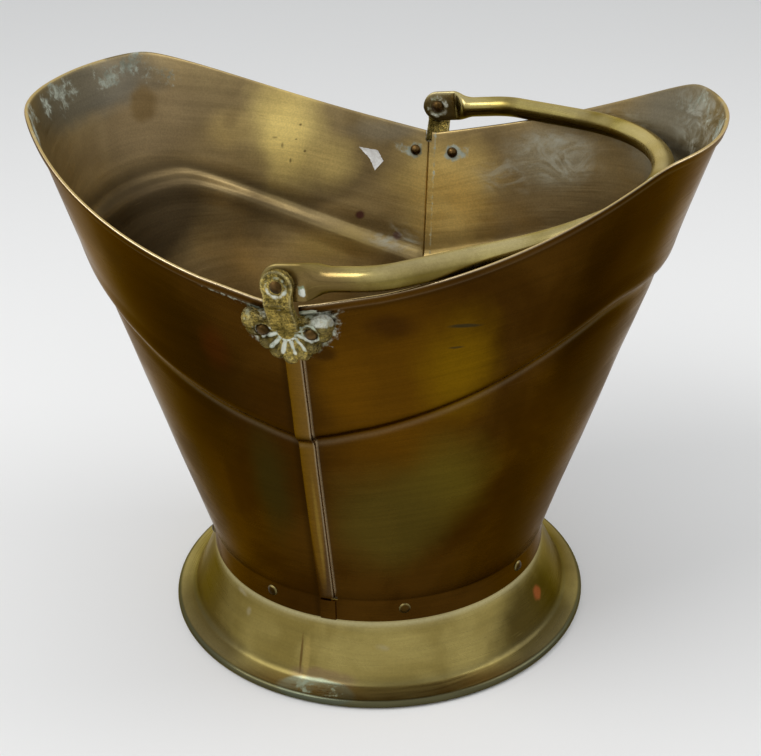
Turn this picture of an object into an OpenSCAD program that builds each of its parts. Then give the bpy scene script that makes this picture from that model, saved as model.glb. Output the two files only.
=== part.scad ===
// Coal scuttle of sheet brass: two folded shells locked together along their side seams,
// a spun pan and a flared foot riveted into the collar, two cast ears and a tube bail.
// The origin is the middle of the foot on the floor, +Z is up, the lips point to +X and -X
// and the seams, ears and pivots lie on the Y axis.

/* [Sheet] */
// Thickness of the brass sheet
sheet_t = 0.7; // [0.6:0.05:0.9]
// Clearance between sheets that lie on each other
lap_gap = 0.1; // [0.05:0.01:0.15]

/* [Foot] */
// Outer radius of the foot at its rolled edge
foot_r = 115; // [108:1:125]
// Height of the body's lower edge above the floor
foot_h = 36.9; // [30:0.5:44]
// Width of the shallow band inside the rolled edge
band_w = 8; // [5:0.5:10]
// Rise of the shallow band
band_rise = 3; // [1:0.5:5]
// Diameter of the wire inside the rolled edge
wire_d = 3; // [2:0.25:4]

/* [Body] */
// Outer radius of the collar
collar_r = 91.4; // [88:0.2:95]
// Height of the collar
collar_h = 12.4; // [11:0.5:15]
// Reach of a lip from the middle
lip_reach = 168.5; // [160:0.5:182]
// Half width of the mouth at the seams
waist_reach = 127.5; // [122:0.5:133]
// Power of the mouth's oval, where 2 is an ellipse
mouth_power = 2.2; // [2:0.05:2.4]
// Height of the lips
lip_z = 281.3; // [270:0.1:295]
// Height of the saddle at the seams
saddle_z = 225.8; // [220:0.2:229]
// Distance from the middle at which the rim turns level
lip_flat = 150; // [130:1:155]
// Share of the rim's climb that is a straight slope; the rest steepens towards the lip
rim_straight = 0.52; // [0.3:0.02:1]
// Height over which the climb rounds off into the level lip
lip_round = 3; // [1:0.5:8]

/* [Ridge, hem and seam] */
// Depth of the swaged ridge below the rim
ridge_drop = 72.5; // [60:0.5:85]
// How much nearer the ridge comes to the rim at the lips
ridge_lift = 6; // [0:0.5:10]
// Sideways step of the ridge
ridge_step = 2.8; // [1.6:0.2:4]
// Height of the ridge's step
ridge_fall = 3.2; // [2.4:0.2:5]
// Width of the hem folded outwards along the rim
hem_w = 3.8; // [3:0.2:5]
// Gap inside the folded hem
hem_gap = 0.5; // [0.3:0.1:0.8]
// Width of the locked seam
seam_w = 7; // [6:0.25:8]

/* [Rivets] */
// Diameter of a small rivet
rivet_d = 3.2; // [2.6:0.1:3.6]
// Diameter of a small rivet's head
rivet_head_d = 6; // [5:0.25:6.5]
// Diameter of the heads that hold the ears
ear_head_d = 6.4; // [5.5:0.2:7]
// Height of a small rivet's head
rivet_head_h = 1.7; // [1.2:0.1:2.2]
// Clearance round a rivet in its hole
rivet_gap = 0.1; // [0.05:0.05:0.2]
// Number of rivets round the collar
collar_rivets = 8; // [8]
// Turn of the collar's rivets away from the quarter of their pitch
collar_turn = 2.2; // [0:0.2:5]
// Height of the collar's rivets above the collar's lower edge
collar_rivet_up = 7.4; // [6:0.2:8.5]

/* [Ears] */
// Height of the rivets that hold an ear
ear_z = 215.5; // [211:0.5:217]
// Distance of an ear's rivet from the seam
ear_rivet_x = 11; // [9.5:0.25:12]
// Thickness of an ear's wings
wing_t = 3.4; // [2.6:0.2:4]
// Number of lobes on the fan
fan_lobes = 5; // [5]
// Turn from one lobe to the next
lobe_turn = 27; // [24:1:32]
// Length of a lobe to the middle of its tip
lobe_len = 11.5; // [10:0.5:15]
// Radius of a lobe at its tip
lobe_r = 4; // [3:0.1:4.4]
// Reach of a wing to the middle of its tip
wing_len = 16.5; // [14:0.5:18]
// Width of the stem
stem_w = 12.5; // [9:0.5:13]
// Thickness of the stem
stem_t = 4; // [3:0.25:5]
// Radius of the eye round the pivot
eye_r = 7.2; // [6:0.2:8]

/* [Bail] */
// Height of the pivots
pivot_z = 239.6; // [237:0.2:244]
// Distance of a leg's centre line outside the waist
leg_out = 2.9; // [2:0.1:6]
// Diameter of the bail's tube
tube_d = 11; // [9:0.25:11.5]
// Width of the flattened end
tab_w = 17; // [14:0.5:18]
// Distance from the pivot to where the flattened end starts to swell
tab_len = 9.5; // [7:0.5:11]
// Length over which it swells to the round tube
squash_len = 13; // [10:1:20]
// Thickness of the flattened end
tab_t = 2.8; // [2:0.1:3.4]
// Distance from the bail's crown back to the lip
crown_back = 26; // [24:1:40]
// Radius of the crown
crown_r = 118; // [112:0.5:122]
// Angle of the shoulders between legs and crown
shoulder = 34; // [30:1:40]
// Radius of the bend between leg and shoulder
shoulder_r = 30; // [20:1:36]
// Angle at which the bail lies above level
bail_rest = 5.4; // [4:0.1:14]
// Diameter of a pivot rivet
pivot_d = 4.2; // [3.6:0.1:5]
// Clearance of the bail beside its ears
run_gap = 0.3; // [0.2:0.05:0.5]

/* [Hidden] */

SHEET_BRASS = "darkgoldenrod";
FOOT_BRASS = "goldenrod";
CAST_BRASS = "peru";
TUBE_BRASS = "gold";
RIVET_BRASS = "sienna";
STEEL = "dimgray";

STEPS = 46;              // generators round half the body
EPS = 0.01;

// ---- plain geometry -------------------------------------------------------------------

function lerp(a, b, s) = a + (b - a) * s;
function unit(v) = v / norm(v);
function left_of(v) = [-v[1], v[0]];
function power(v, e) = sign(v) * pow(abs(v), e);

// Mitre at point i of an open path: the offset to its left for a half thickness of 1
function mitre(path, i) =
    let (last = len(path) - 1,
         before = unit(path[max(1, i)] - path[max(0, i - 1)]),
         after = unit(path[min(last, i + 1)] - path[min(last - 1, i)]),
         middle = unit(left_of(before) + left_of(after)))
    middle / (middle * left_of(after));

// Outline of a sheet of thickness t along an open path
function sheet_outline(path, t) = concat(
    [for (i = [0:len(path) - 1]) path[i] + mitre(path, i) * t / 2],
    [for (i = [len(path) - 1:-1:0]) path[i] - mitre(path, i) * t / 2]);

function arc(centre, r, from, to, steps) =
    [for (i = [0:steps]) let (a = lerp(from, to, i / steps)) centre + r * [cos(a), sin(a)]];

// ---- the body's wall --------------------------------------------------------------------

// Both shells are ruled from the collar's circle to a long oval at the rim. A generator is
// named by its angle; the rim climbs from each seam, ever steeper, to the level lips.
wall_r = collar_r - sheet_t / 2;
collar_top = foot_h + collar_h;
pitch = sheet_t + lap_gap;
hem_pitch = sheet_t + hem_gap;

function rim_z(angle) =
    let (way = lip_reach * pow(abs(cos(angle)), 2 / mouth_power) / lip_flat,
         climb = rim_straight * way + (1 - rim_straight) * pow(way, 2.5),
         rest = (lip_z - saddle_z) * (1 - climb))
    lip_z - (rest + sqrt(rest * rest + lip_round * lip_round)) / 2;

function share(angle, z) = max(0, (z - collar_top) / (rim_z(angle) - collar_top));

// Point on the sheet's middle at a generator and a height, moved outwards by out
function wall_point(angle, z, out) =
    let (s = share(angle, z),
         a = lerp(wall_r, lip_reach, s),
         b = lerp(wall_r, waist_reach, s),
         e = 2 / lerp(2, mouth_power, s),
         n = unit([b * power(cos(angle), 2 - e), a * power(sin(angle), 2 - e)]))
    [a * power(cos(angle), e) + out * n[0], b * power(sin(angle), e) + out * n[1], z];

// The wall's profile from the collar up, over the ridge and round the hem: what a height
// is counted from (0 floor, 1 ridge, 2 rim), the height, and the step outwards
FLOOR = 0;
RIDGE = 1;
RIM = 2;
LEVELS = [
    [FLOOR, foot_h, 0],
    [FLOOR, collar_top, 0],
    [FLOOR, collar_top + 2, 0],
    [RIDGE, -5 * ridge_fall, -0.36 * ridge_step],
    [RIDGE, -1.3 * ridge_fall, -0.55 * ridge_step],
    [RIDGE, -0.5 * ridge_fall, -0.42 * ridge_step],
    [RIDGE, 0.5 * ridge_fall, 0.42 * ridge_step],
    [RIDGE, 1.3 * ridge_fall, 0.55 * ridge_step],
    [RIDGE, 5 * ridge_fall, 0.36 * ridge_step],
    [RIM, -hem_w - 1.5, 0],
    [RIM, -1, 0],
    [RIM, -sheet_t / 2, 0.3 * hem_pitch],
    [RIM, -sheet_t / 2, 0.7 * hem_pitch],
    [RIM, -1, hem_pitch],
    [RIM, -hem_w, hem_pitch]];
LAST_LEVEL = len(LEVELS) - 1;
LAP_TOP = 1;             // the collar's laps end at this level
LOCK_FROM = 2;           // the locked seam runs between these two levels
LOCK_TO = 9;

function ridge_z(angle) = rim_z(angle) - ridge_drop + ridge_lift * pow(cos(angle), 2);
function base_z(kind, angle) =
    kind == FLOOR ? 0 : kind == RIDGE ? ridge_z(angle) : rim_z(angle);
function level_z(k, angle) = base_z(LEVELS[k][0], angle) + LEVELS[k][1];
PROFILE = [for (k = [0:LAST_LEVEL]) [LEVELS[k][2], level_z(k, 90)]];

// The sheet's outer face lies to the right of the profile as it climbs
function profile_side(k) = -mitre(PROFILE, k);

// The seam's middle line: half width of the body, and the wall's lean there
function seam_out(z) = lookup(z, [for (k = [0:LOCK_TO]) [level_z(k, 90), LEVELS[k][2]]]);
function seam_y(z) = wall_point(90, z, seam_out(z))[1];

// ---- the locked seam ----------------------------------------------------------------------

// Across the seam, [along, outwards] from the sheet's middle. One shell's edge runs flat
// along the inside and folds out and back; the other's steps over it and folds in under.
// Four sheets lie on each other: inner edge, hook, hook and cover.
bend = 0.6 * pitch;
fold_x = seam_w / 2 - sheet_t / 2;
riser_x = seam_w / 2 + lap_gap + sheet_t / 2;
hook_end = seam_w / 2 - sheet_t - 0.5;

COVER = [[hook_end, pitch], [bend - fold_x, pitch],
    [-fold_x, pitch + bend], [-fold_x, 3 * pitch - bend],
    [bend - fold_x, 3 * pitch], [riser_x - bend, 3 * pitch],
    [riser_x, 3 * pitch - bend], [riser_x, bend], [riser_x + bend, 0],
    [riser_x + bend + 1, 0]];
INNER = [[fold_x - bend - 1, 0],
    [fold_x - bend, 0], [fold_x, bend], [fold_x, 2 * pitch - bend],
    [fold_x - bend, 2 * pitch], [-hook_end, 2 * pitch]];

// At the collar the same edges are a plain lap
N_COVER = len(COVER) - 1;
N_INNER = len(INNER) - 1;
COVER_LAP = [for (i = [0:N_COVER]) i < N_COVER - 1
    ? [-seam_w / 2 + seam_w * i / (N_COVER - 2), pitch]
    : [i == N_COVER ? riser_x + bend + 1 : riser_x + bend, 0]];
INNER_LAP = [for (i = [0:N_INNER]) [lerp(fold_x - bend - 1, fold_x, i / N_INNER), 0]];

// Generator through a place beside the seam: side -1 is the near seam, 1 the far one
function seam_angle(side, along, k) =
    let (s = share(90, level_z(k, 90)),
         c = power(along / lerp(wall_r, lip_reach, s), lerp(2, mouth_power, s) / 2))
    side < 0 ? -acos(c) : acos(-c);

// The folds keep the seam's own heights, so that their layers step over the ridge together
function seam_point(side, path, i, k, face) =
    let (p = path[i] + mitre(path, i) * face * sheet_t / 2)
    wall_point(seam_angle(side, p[0], k), level_z(k, 90), LEVELS[k][2] + p[1]);

// ---- one shell as a grid of sheet cells -----------------------------------------------------

// Stations run from the cover edge at the near seam round the lip to the inner edge at the
// far seam: N_COVER seam stations, STEPS + 1 wall stations, N_INNER seam stations.
FIRST_WALL = N_COVER;
LAST_WALL = N_COVER + STEPS;
LAST_STATION = LAST_WALL + N_INNER;

function wall_angle(i, k) =
    i == FIRST_WALL ? seam_angle(-1, COVER[N_COVER][0], k)
    : i == LAST_WALL ? seam_angle(1, INNER[0][0], k)
    : lerp(-90, 90, (i - FIRST_WALL + 0.6) / (STEPS + 0.2));

function wall_face(i, k, face) =
    let (side = profile_side(k) * face * sheet_t / 2,
         angle = wall_angle(i, k))
    wall_point(angle, level_z(k, angle) + side[1], LEVELS[k][2] + side[0]);

function shell_point(i, k, face) =
    i < FIRST_WALL ? seam_point(-1, k <= LAP_TOP ? COVER_LAP : COVER, i, k, face)
    : i > LAST_WALL ? seam_point(1, k <= LAP_TOP ? INNER_LAP : INNER, i - LAST_WALL, k, face)
    : wall_face(i, k, face);

function is_wall(i) = i >= FIRST_WALL && i < LAST_WALL;
function in_seam(k) = k < LAP_TOP || (k >= LOCK_FROM && k < LOCK_TO);
function is_sheet(i, k) = i >= 0 && i < LAST_STATION && k >= 0 && k < LAST_LEVEL
    && (is_wall(i) || in_seam(k));

// Points are numbered by station, level and face (0 inner, 1 outer)
function id(i, k, face) = (i * (LAST_LEVEL + 1) + k) * 2 + face;
function quad(a, b, c, d) = [[a, b, c], [a, c, d]];

function cell_faces(i, k) = concat(
    quad(id(i, k, 1), id(i, k + 1, 1), id(i + 1, k + 1, 1), id(i + 1, k, 1)),
    quad(id(i + 1, k, 0), id(i + 1, k + 1, 0), id(i, k + 1, 0), id(i, k, 0)),
    is_sheet(i - 1, k) ? [] : quad(id(i, k, 0), id(i, k + 1, 0), id(i, k + 1, 1), id(i, k, 1)),
    is_sheet(i + 1, k) ? [] : quad(id(i + 1, k, 1), id(i + 1, k + 1, 1),
                                   id(i + 1, k + 1, 0), id(i + 1, k, 0)),
    is_sheet(i, k - 1) ? [] : quad(id(i, k, 1), id(i + 1, k, 1), id(i + 1, k, 0), id(i, k, 0)),
    is_sheet(i, k + 1) ? [] : quad(id(i, k + 1, 0), id(i + 1, k + 1, 0),
                                   id(i + 1, k + 1, 1), id(i, k + 1, 1)));

module shell_sheet() {
    polyhedron(
        points = [for (i = [0:LAST_STATION]) for (k = [0:LAST_LEVEL]) for (face = [-1, 1])
            shell_point(i, k, face)],
        faces = [for (i = [0:LAST_STATION - 1]) for (k = [0:LAST_LEVEL - 1])
            if (is_sheet(i, k)) each cell_faces(i, k)]);
}

// The shell on the +X side with its rivet holes; the other one is the same part turned round
module shell() {
    difference() {
        shell_sheet();
        for (n = [1:collar_rivets / 2]) on_collar(n) rivet_hole();
        on_ear_rivet(1) rivet_hole();
        rotate([0, 0, 180]) on_ear_rivet(-1) rivet_hole();
    }
}

module front_shell() {
    color(SHEET_BRASS) rotate([0, 0, 180]) shell();
}

module back_shell() {
    color(SHEET_BRASS) shell();
}

// ---- rivets -------------------------------------------------------------------------------

module dome(d, h) {
    ball_r = (d * d / 4 + h * h) / (2 * h);
    intersection() {
        translate([0, 0, h - ball_r]) sphere(ball_r, $fn = 48);
        cylinder(d = d, h = h, $fn = 48);
    }
}

// Rivet along Z whose grip runs from -grip to 0, headed at both ends
module rivet(d, grip, head_d, head_h, tail_d, tail_h) {
    translate([0, 0, -grip - EPS]) cylinder(d = d, h = grip + 2 * EPS, $fn = 32);
    dome(head_d, head_h);
    translate([0, 0, -grip]) mirror([0, 0, 1]) dome(tail_d, tail_h);
}

module rivet_hole() {
    translate([0, 0, -10]) cylinder(d = rivet_d + 2 * rivet_gap, h = 20, $fn = 32);
}

// Places a rivet with its head on the collar; number 1 is the first one right of the near seam
module on_collar(n) {
    rotate([0, 0, -90 + 360 / collar_rivets * (n - 0.5) + collar_turn])
        translate([collar_r, 0, foot_h + collar_rivet_up])
            rotate([0, 90, 0]) children();
}

pan_mid_r = wall_r - 2 * pitch;
collar_grip = collar_r - (pan_mid_r - sheet_t / 2) + lap_gap;

module collar_rivet(n) {
    color(RIVET_BRASS) on_collar(n)
        rivet(rivet_d, collar_grip, rivet_head_d, rivet_head_h, rivet_head_d, 0.7 * rivet_head_h);
}

// ---- foot and pan -----------------------------------------------------------------------

foot_neck_r = wall_r - pitch;
roll_r = wire_d / 2 + lap_gap + sheet_t / 2;
roll_step = 20;          // the edge is rolled in facets, one of them flat on the floor
roll_from = 100;         // where the roll starts, counted from the foot's outside
ROLL_FACETS = 15;
roll_at = [foot_r - roll_r - sheet_t / 2, roll_r * cos(roll_step / 2) + sheet_t / 2];
neck_top = foot_h + collar_h - 1;

FOOT_PATH = concat(
    [[foot_neck_r, neck_top], [foot_neck_r, foot_h - 2 * lap_gap]],
    [[roll_at[0] - band_w - 1.2, roll_at[1] + roll_r + band_rise + 1.2],
     [roll_at[0] - band_w + 0.6, roll_at[1] + roll_r + band_rise - 0.5]],
    arc(roll_at, roll_r, roll_from, roll_from - ROLL_FACETS * roll_step, ROLL_FACETS));

module collar_bores() {
    for (n = [1:collar_rivets]) on_collar(n) rivet_hole();
}

module foot_ring() {
    color(FOOT_BRASS) difference() {
        rotate_extrude($fn = 128) polygon(sheet_outline(FOOT_PATH, sheet_t));
        collar_bores();
    }
}

module foot_wire() {
    color(STEEL) rotate_extrude($fn = 128)
        translate(roll_at) circle(d = wire_d, $fn = 24);
}

pan_z = foot_h + 1.2;
pan_bend = 2;

module base_pan() {
    path = concat([[0, pan_z]],
        arc([pan_mid_r - pan_bend, pan_z + pan_bend], pan_bend, -90, 0, 4),
        [[pan_mid_r, neck_top]]);
    last = len(path) - 1;
    color(SHEET_BRASS) difference() {
        rotate_extrude($fn = 128) polygon(concat(
            [for (i = [0:last]) path[i] - (i == 0 ? [0, 1] : mitre(path, i)) * sheet_t / 2],
            [for (i = [last:-1:0]) path[i] + (i == 0 ? [0, 1] : mitre(path, i)) * sheet_t / 2]));
        collar_bores();
    }
}

// ---- ears ---------------------------------------------------------------------------------

// Everything here is drawn at the near seam, with x along the rim, y up the wall and z
// outwards; the far ear is the same casting turned round.
ear_lean = atan((seam_y(ear_z + 5) - seam_y(ear_z - 5)) / 10);
seam_rise = 3 * pitch + sheet_t / 2;
leg_y = waist_reach + leg_out;
eye_y = leg_y + tube_d / 2 + run_gap;
back_gap = 0.05;

module on_ear() {
    translate([0, -seam_y(ear_z), ear_z]) rotate([90 + ear_lean, 0, 0])
        translate([0, 0, sheet_t / 2 + back_gap]) children();
}

// side -1 is the rivet towards the front shell, 1 towards the back shell
module on_ear_rivet(side) {
    on_ear() translate([side * ear_rivet_x, 0, wing_t]) children();
}

module on_pivot() {
    translate([0, -eye_y, pivot_z]) rotate([90, 0, 0]) children();
}

// The stem in side view, from the eye down to the fan, outside the hem and the seam
stem_foot_z = ear_z + 0.5;
stem_top_z = ear_z + 6;
function stem_back(z) = seam_y(z) + seam_rise / cos(ear_lean) + 4 * lap_gap;
module stem() {
    side_view = [
        [eye_y, pivot_z], [eye_y, pivot_z - tab_w / 2 - 0.6],
        [stem_back(stem_top_z), stem_top_z], [stem_back(stem_foot_z), stem_foot_z],
        [stem_back(stem_foot_z) + 0.9 * stem_t, stem_foot_z],
        [stem_back(stem_foot_z) + 1.2 * stem_t, stem_foot_z + 2],
        [eye_y + stem_t, pivot_z - tab_w / 2], [eye_y + stem_t, pivot_z]];
    rotate([90, 0, -90]) translate([0, 0, -stem_w / 2])
        linear_extrude(stem_w) polygon(side_view);
}

// A lobe lies on the wall, turned from straight down, and swells to a round tip
module fan_lobe(turn, length, r) {
    rotate([0, 0, turn]) translate([0, 0, 0.3 * r]) rotate([90, 0, 0]) {
        translate([0, 0, 1]) cylinder(r1 = 0.35 * r, r2 = r, h = length - 1, $fn = 32);
        translate([0, 0, length]) sphere(1.04 * r, $fn = 32);
    }
}

fan_top = 5.8;
wing_turn = 104;         // a wing points a little above level, as the rim climbs
rim_climb = 10;          // slope of the casting's top edge, below the hem
module fan() {
    difference() {
        union() {
            for (i = [0:fan_lobes - 1]) let (place = i - (fan_lobes - 1) / 2)
                fan_lobe(lobe_turn * place, lobe_len + 2.4 / (1 + abs(place)), lobe_r);
            for (side = [-1, 1]) {
                fan_lobe(side * wing_turn, wing_len, 1.2 * lobe_r);
                fan_lobe(side * (wing_turn + 16), 0.8 * wing_len, lobe_r);
                fan_lobe(side * (wing_turn - 16), wing_len - 1, lobe_r);
                translate([side * ear_rivet_x, 0, 0]) cylinder(r = 5.4, h = wing_t, $fn = 48);
                translate([side * ear_rivet_x * 0.6, 1.5, 0]) cylinder(r = 5, h = 3.8, $fn = 48);
            }
            cylinder(r = lobe_len, h = 2.2, $fn = 64);
            cylinder(r = 4.4, h = 5, $fn = 48);
            translate([0, -lobe_len - lobe_r - 0.6, 0]) cylinder(r1 = 3.4, r2 = 2.2, h = 2.2, $fn = 32);
        }
        translate([-40, -40, -20]) cube([80, 80, 20]);
        translate([-seam_w / 2 - 1.6, -40, -1]) cube([seam_w + 3.2, 80, 1 + seam_rise + lap_gap]);
        for (side = [-1, 1]) {
            translate([0, fan_top, -1]) rotate([0, 0, side * rim_climb])
                translate([-20 + side * 20, 0, 0]) cube([40, 20, 20]);
            translate([side * ear_rivet_x, 0, wing_t]) {
                rivet_hole();
                cylinder(d = ear_head_d + 4 * rivet_gap, h = 8, $fn = 32);
            }
        }
    }
}

module ear() {
    difference() {
        union() {
            on_pivot() cylinder(r = eye_r, h = stem_t, $fn = 64);
            stem();
            on_ear() fan();
        }
        on_pivot() translate([0, 0, -5])
            cylinder(d = pivot_d + 2 * rivet_gap, h = 10 + stem_t, $fn = 48);
    }
}

module near_ear() {
    color(CAST_BRASS) ear();
}

module far_ear() {
    color(CAST_BRASS) rotate([0, 0, 180]) ear();
}

// The wall falls away from the ear's back, so the inner heads sit that much deeper
wall_fall = 1;
ear_grip = wing_t + sheet_t + back_gap + wall_fall;

module ear_rivet(side) {
    color(RIVET_BRASS) on_ear_rivet(side)
        rivet(rivet_d, ear_grip, ear_head_d, 1.5 * rivet_head_h, rivet_head_d, rivet_head_h);
}

module near_ear_front_rivet() ear_rivet(-1);
module near_ear_back_rivet() ear_rivet(1);
module far_ear_front_rivet() rotate([0, 0, 180]) ear_rivet(1);
module far_ear_back_rivet() rotate([0, 0, 180]) ear_rivet(-1);

// ---- bail ---------------------------------------------------------------------------------

// The bail is drawn level, pivots on the Y axis and crown towards +X. From each pivot a leg
// runs along X, a bend turns it by the shoulder angle, and the crown's arc closes it.
crown_at = lip_reach - crown_back - crown_r;
crown_end = [crown_at + crown_r * sin(shoulder), crown_r * cos(shoulder)];
corner_x = crown_end[0] - (leg_y - crown_end[1]) / tan(shoulder);
bend_back = shoulder_r * tan(shoulder / 2);
leg_end = corner_x - bend_back;
squash_end = min(tab_len + squash_len, leg_end - 1);
TUBE_SIDES = 28;
SQUASH_RINGS = 9;
BEND_RINGS = 5;
CROWN_RINGS = 30;

function ease(s) = s * s * (3 - 2 * s);

// The tube's stations from the far pivot to the middle of the crown: centre, the angle of
// the outward normal, and how round the tube is there, from 0 flat to 1 round
LEG = concat(
    [[0, leg_y, 90, 0]],
    [for (i = [0:SQUASH_RINGS]) [lerp(tab_len, squash_end, i / SQUASH_RINGS), leg_y, 90,
        i / SQUASH_RINGS]],
    [for (i = [0:BEND_RINGS - 1]) let (a = 90 - shoulder * i / BEND_RINGS)
        [leg_end + shoulder_r * cos(a), leg_y - shoulder_r + shoulder_r * sin(a), a, 1]],
    [let (a = 90 - shoulder)
        [leg_end + shoulder_r * cos(a), leg_y - shoulder_r + shoulder_r * sin(a), a, 1]]);
LAST_LEG = len(LEG) - 1;
CROWN = [for (i = [0:CROWN_RINGS]) let (a = (90 - shoulder) * (1 - 2 * i / CROWN_RINGS))
    [crown_at + crown_r * cos(a), crown_r * sin(a), a, 1]];
STATIONS = concat(LEG, CROWN,
    [for (i = [LAST_LEG:-1:0]) [LEG[i][0], -LEG[i][1], -LEG[i][2], LEG[i][3]]]);

// The outer face of the flattened end stays straight, so the flattening is a scoop in the
// tube's inner face
function tube_ring(station) =
    let (grow = ease(min(1, station[3] * 1.5)),
         high = lerp(tab_w - 0.2, tube_d, ease(station[3])) / 2,
         deep = lerp(tab_t - 0.1, tube_d, grow) / 2,
         square = lerp(0.35, 1, grow),
         out = [cos(station[2]), sin(station[2])])
    [for (i = [0:TUBE_SIDES - 1])
        let (a = 360 * (i + 0.5) / TUBE_SIDES,
             across = tube_d / 2 - deep + deep * power(cos(a), square),
             up = high * power(sin(a), square))
        [station[0] + across * out[0], station[1] + across * out[1], up]];

module tube() {
    last = len(STATIONS) - 1;
    polyhedron(
        points = [for (station = STATIONS) each tube_ring(station)],
        faces = concat(
            [for (r = [0:last - 1]) for (i = [0:TUBE_SIDES - 1])
                let (a = r * TUBE_SIDES + i, b = r * TUBE_SIDES + (i + 1) % TUBE_SIDES)
                each [[a, b + TUBE_SIDES, b], [a, a + TUBE_SIDES, b + TUBE_SIDES]]],
            [[for (i = [0:TUBE_SIDES - 1]) i]],
            [[for (i = [TUBE_SIDES - 1:-1:0]) last * TUBE_SIDES + i]]));
}

module across_bail(y, d, length) {
    translate([0, y, 0]) rotate([-90, 0, 0]) cylinder(d = d, h = length, $fn = 64);
}

module bail() {
    tab_y = leg_y + tube_d / 2 - tab_t;
    color(TUBE_BRASS) translate([0, 0, pivot_z]) rotate([0, -bail_rest, 0]) difference() {
        union() {
            tube();
            across_bail(tab_y, tab_w, tab_t);
            across_bail(-tab_y - tab_t, tab_w, tab_t);
        }
        across_bail(-leg_y - tube_d, pivot_d + 2 * rivet_gap, 2 * (leg_y + tube_d));
    }
}

pivot_grip = stem_t + tab_t + 3 * run_gap;
module pivot_rivet() {
    color(RIVET_BRASS) on_pivot() translate([0, 0, stem_t])
        rivet(pivot_d, pivot_grip, 1.35 * pivot_d, 1.3, 1.6 * pivot_d, 2.2);
}

module near_pivot_rivet() pivot_rivet();
module far_pivot_rivet() rotate([0, 0, 180]) pivot_rivet();

front_shell();
back_shell();
base_pan();
foot_ring();
foot_wire();
near_ear();
far_ear();
near_ear_front_rivet();
near_ear_back_rivet();
far_ear_front_rivet();
far_ear_back_rivet();
collar_rivet(1);  // collar_rivet_1
collar_rivet(2);  // collar_rivet_2
collar_rivet(3);  // collar_rivet_3
collar_rivet(4);  // collar_rivet_4
collar_rivet(5);  // collar_rivet_5
collar_rivet(6);  // collar_rivet_6
collar_rivet(7);  // collar_rivet_7
collar_rivet(8);  // collar_rivet_8
near_pivot_rivet();
far_pivot_rivet();
bail();
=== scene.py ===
from math import acos, atan2, copysign, cos, degrees, exp, floor, hypot, pi, radians, sin, sqrt, tan

import bpy
from mathutils import Matrix, Vector, noise


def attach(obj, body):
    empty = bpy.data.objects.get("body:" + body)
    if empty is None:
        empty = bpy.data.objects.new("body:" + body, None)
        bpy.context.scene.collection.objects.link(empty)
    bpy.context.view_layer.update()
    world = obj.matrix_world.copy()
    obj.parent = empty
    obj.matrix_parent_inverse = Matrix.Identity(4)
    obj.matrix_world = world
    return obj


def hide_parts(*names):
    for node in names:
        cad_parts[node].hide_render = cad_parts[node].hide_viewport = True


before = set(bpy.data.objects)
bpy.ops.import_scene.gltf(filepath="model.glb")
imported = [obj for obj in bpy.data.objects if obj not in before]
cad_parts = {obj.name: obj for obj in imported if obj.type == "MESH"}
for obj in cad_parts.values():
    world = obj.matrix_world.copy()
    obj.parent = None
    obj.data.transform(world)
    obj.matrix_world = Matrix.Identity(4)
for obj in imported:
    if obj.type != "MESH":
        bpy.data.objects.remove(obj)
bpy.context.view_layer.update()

mm = 0.001


# ---- Studio ----
# A plain pale floor in a pale surround, with one large soft box above on the left and a
# weaker one on the right. The camera stands where the photographer's did, about 0.8 m away
# and 35 degrees above the floor, a little to the right of the seam.

scene = bpy.context.scene
scene.view_settings.view_transform = "Standard"


def add_node(tree, kind, wired=None, **settings):
    """One shader node. An input, named or numbered, gets another node's output or a value;
    a colour is three numbers."""
    node = tree.nodes.new(kind)
    for name, value in settings.items():
        setattr(node, name, value)
    for name, value in (wired or {}).items():
        if isinstance(value, bpy.types.NodeSocket):
            tree.links.new(value, node.inputs[name])
        else:
            socket = node.inputs[name]
            socket.default_value = (*value, 1) if socket.type == "RGBA" else value
    return node


def math_node(operation, a, b=0.0):
    """Goes into the tree that its wired input belongs to."""
    tree = (a if isinstance(a, bpy.types.NodeSocket) else b).id_data
    return add_node(tree, "ShaderNodeMath", {0: a, 1: b}, operation=operation).outputs[0]


def new_material(name):
    material = bpy.data.materials.new(name)
    material.use_nodes = True
    material.node_tree.nodes.clear()
    return material, material.node_tree


def end_material(tree, inputs):
    surface = add_node(tree, "ShaderNodeBsdfPrincipled", inputs)
    add_node(tree, "ShaderNodeOutputMaterial", {"Surface": surface.outputs[0]})


def start_piece():
    """Nothing stays selected from the piece before."""
    if bpy.context.object and bpy.context.object.mode != "OBJECT":
        bpy.ops.object.mode_set(mode="OBJECT")
    bpy.ops.object.select_all(action="DESELECT")


camera_azimuth, camera_height = radians(16.907), radians(35.052)
camera_distance = 813.69 * mm
focal_px, photo_width = 1398.3, 761
camera_roll, camera_pan, camera_tilt = radians(1.103), radians(0.192), radians(-8.102)

back = Vector((sin(camera_azimuth) * cos(camera_height),
               -cos(camera_azimuth) * cos(camera_height), sin(camera_height)))
right = Vector((cos(camera_azimuth), sin(camera_azimuth), 0))
level = Matrix((right, back.cross(right), back))
aimed = (Matrix.Rotation(camera_roll, 3, "Z") @ Matrix.Rotation(camera_tilt, 3, "X")
         @ Matrix.Rotation(camera_pan, 3, "Y") @ level)
bpy.ops.object.camera_add(location=back * camera_distance)
camera = bpy.context.object
camera.name = "camera"
camera.rotation_euler = aimed.transposed().to_euler()
camera.data.lens = focal_px / photo_width * camera.data.sensor_width
camera.data.clip_start = 0.02
scene.camera = camera

start_piece()
bpy.ops.mesh.primitive_plane_add(size=14, location=(0, 0, -0.0002))
floor_piece = bpy.context.object
floor_piece.name = "floor"
floor_paint, tree = new_material("pale_floor")
end_material(tree, {"Base Color": (0.83, 0.825, 0.815), "Roughness": 0.75,
                    "Specular IOR Level": 0.2})
floor_piece.data.materials.append(floor_paint)

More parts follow.
